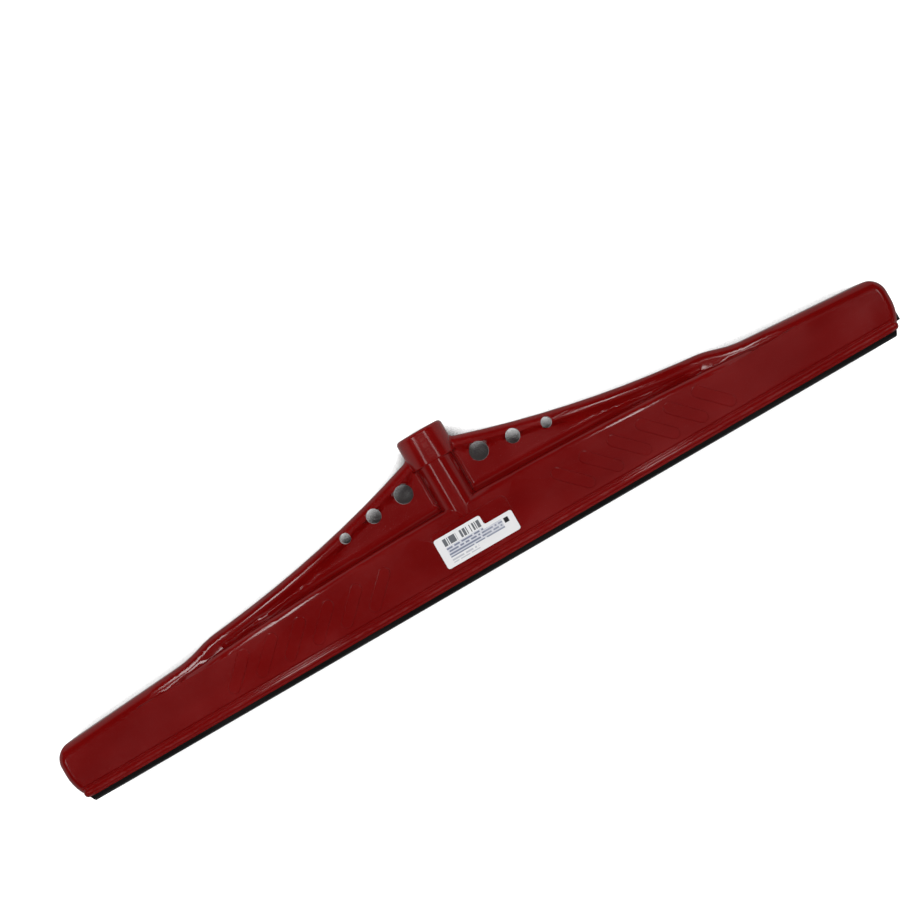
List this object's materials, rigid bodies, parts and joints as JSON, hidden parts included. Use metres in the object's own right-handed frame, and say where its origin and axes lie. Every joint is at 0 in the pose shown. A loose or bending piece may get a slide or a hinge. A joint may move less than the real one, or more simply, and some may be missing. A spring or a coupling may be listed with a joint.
{
  "type": "floor squeegee head",
  "caption": "Moulded floor squeegee head with a round handle socket, a pierced web and a slide-out cassette holding two rubber blades.",
  "frame": {"origin": "centre of the bounding box in X and Y, on the surface that the back of the head rests on", "axes": "+X along the blades, +Y from the blade tips to the mouth of the handle socket, +Z out of the front face"},
  "size_m": [0.5994, 0.1, 0.0324],
  "materials": {
    "red_plastic": "deep red glossy moulding with a fine moulded surface",
    "black_plastic": "black extruded plastic, satin",
    "black_rubber": "black rubber, matt with a cut edge",
    "label_paper": null
  },
  "bodies": {
    "head": {"body": "red_plastic", "label": "label_paper"},
    "cassette": {"cassette_rail": "black_plastic", "front_blade": "black_rubber", "rear_blade": "black_rubber"}
  },
  "joints": [
    {"name": "cassette_slide", "type": "slide", "parent": "head", "child": "cassette", "axis": [1, 0, 0], "range_m": [0, 0.61]}
  ]
}
